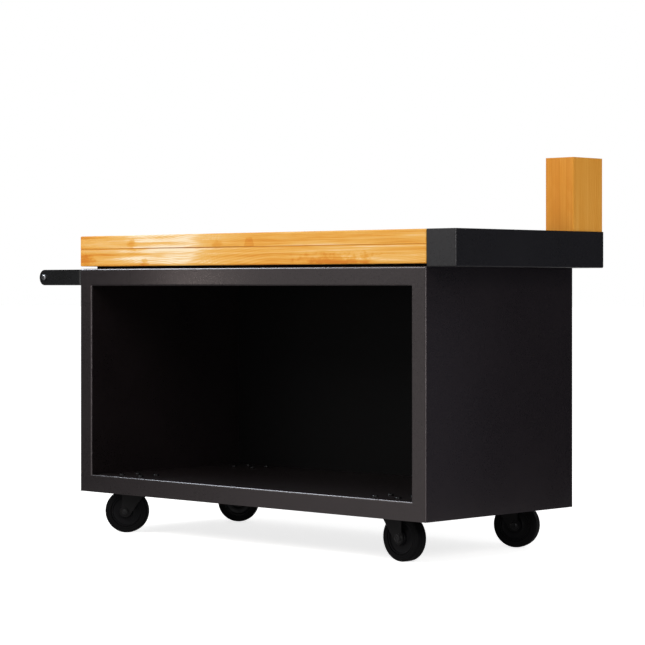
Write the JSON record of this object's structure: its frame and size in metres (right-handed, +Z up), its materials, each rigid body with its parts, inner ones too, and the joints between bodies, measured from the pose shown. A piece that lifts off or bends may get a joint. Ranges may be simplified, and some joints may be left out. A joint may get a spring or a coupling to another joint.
{
  "type": "prep table",
  "caption": "Wheeled outdoor prep table: an open-fronted steel log cabinet with a thick timber worktop, a push handle, a side tray with a knife block, and swivel casters.",
  "frame": {"origin": "on the floor, under the middle of the whole table's bounding box", "axes": "+X along the front from the handle end to the tray end, +Y from the open front to the back, +Z up"},
  "size_m": [1.637, 0.616, 1.057],
  "materials": {
    "cabinet_steel": "satin black powder coat",
    "handle_steel": "satin black powder coat",
    "worktop_timber": "oiled honey-coloured timber",
    "block_timber": "oiled honey-coloured timber",
    "caster_steel": "black paint on pressed steel",
    "fastener_steel": "zinc-plated steel",
    "black_fasteners": "blackened steel",
    "wheel_plastic": "moulded black nylon",
    "tyre_rubber": "matt black rubber"
  },
  "bodies": {
    "table": {"left_side": "cabinet_steel", "right_side": "cabinet_steel", "top_panel": "cabinet_steel", "floor_panel": "cabinet_steel", "back_panel": "cabinet_steel", "back_screws": "fastener_steel", "floor_stiffeners": "cabinet_steel", "caster_pads": "cabinet_steel", "caster_bolts": "black_fasteners", "caster_nuts": "fastener_steel", "caster_top_plates": "caster_steel", "caster_kingpins": "fastener_steel", "caster_kingpin_nuts": "fastener_steel", "caster_bearing_rings": "fastener_steel", "worktop_spacers": "cabinet_steel", "worktop_lower_board": "worktop_timber", "worktop_upper_board": "worktop_timber", "worktop_screws": "fastener_steel", "side_tray": "cabinet_steel", "tray_screws": "fastener_steel", "handle_bracket": "handle_steel", "handle_bolts": "black_fasteners", "handle_nuts": "fastener_steel", "handle_bar": "handle_steel", "handle_bar_screws": "fastener_steel"},
    "knife_block": {"knife_block_slats": "block_timber", "knife_block_spacers": "block_timber"},
    "front_left_swivel": {"front_left_fork": "caster_steel", "front_left_axle_bolt": "black_fasteners", "front_left_axle_nut": "black_fasteners", "front_left_axle_sleeve": "fastener_steel"},
    "front_left_wheel": {"front_left_wheel_core": "wheel_plastic", "front_left_wheel_bush": "wheel_plastic", "front_left_tyre": "tyre_rubber"},
    "front_right_swivel": {"front_right_fork": "caster_steel", "front_right_axle_bolt": "black_fasteners", "front_right_axle_nut": "black_fasteners", "front_right_axle_sleeve": "fastener_steel"},
    "front_right_wheel": {"front_right_wheel_core": "wheel_plastic", "front_right_wheel_bush": "wheel_plastic", "front_right_tyre": "tyre_rubber"},
    "rear_left_swivel": {"rear_left_fork": "caster_steel", "rear_left_axle_bolt": "black_fasteners", "rear_left_axle_nut": "black_fasteners", "rear_left_axle_sleeve": "fastener_steel"},
    "rear_left_wheel": {"rear_left_wheel_core": "wheel_plastic", "rear_left_wheel_bush": "wheel_plastic", "rear_left_tyre": "tyre_rubber"},
    "rear_right_swivel": {"rear_right_fork": "caster_steel", "rear_right_axle_bolt": "black_fasteners", "rear_right_axle_nut": "black_fasteners", "rear_right_axle_sleeve": "fastener_steel"},
    "rear_right_wheel": {"rear_right_wheel_core": "wheel_plastic", "rear_right_wheel_bush": "wheel_plastic", "rear_right_tyre": "tyre_rubber"}
  },
  "joints": [
    {"name": "knife_block_lift", "type": "slide", "parent": "table", "child": "knife_block", "axis": [0, 0, 1], "range_m": [0, 0.1]},
    {"name": "front_left_swivel", "type": "hinge", "parent": "table", "child": "front_left_swivel", "pos_m": [-0.4565, -0.227, 0.115], "axis": [0, 0, 1], "continuous": true},
    {"name": "front_left_wheel", "type": "hinge", "parent": "front_left_swivel", "child": "front_left_wheel", "pos_m": [-0.48524, -0.24698, 0.0625], "axis": [0.5707, -0.8211, 0], "continuous": true},
    {"name": "front_right_swivel", "type": "hinge", "parent": "table", "child": "front_right_swivel", "pos_m": [0.5435, -0.227, 0.115], "axis": [0, 0, 1], "continuous": true},
    {"name": "front_right_wheel", "type": "hinge", "parent": "front_right_swivel", "child": "front_right_wheel", "pos_m": [0.5785, -0.227, 0.0625], "axis": [0, 1, 0], "continuous": true},
    {"name": "rear_left_swivel", "type": "hinge", "parent": "table", "child": "rear_left_swivel", "pos_m": [-0.4565, 0.223, 0.115], "axis": [0, 0, 1], "continuous": true},
    {"name": "rear_left_wheel", "type": "hinge", "parent": "rear_left_swivel", "child": "rear_left_wheel", "pos_m": [-0.48077, 0.19778, 0.0625], "axis": [0.7206, -0.6934, 0], "continuous": true},
    {"name": "rear_right_swivel", "type": "hinge", "parent": "table", "child": "rear_right_swivel", "pos_m": [0.5435, 0.223, 0.115], "axis": [0, 0, 1], "continuous": true},
    {"name": "rear_right_wheel", "type": "hinge", "parent": "rear_right_swivel", "child": "rear_right_wheel", "pos_m": [0.57639, 0.23497, 0.0625], "axis": [-0.342, 0.9397, 0], "continuous": true}
  ]
}
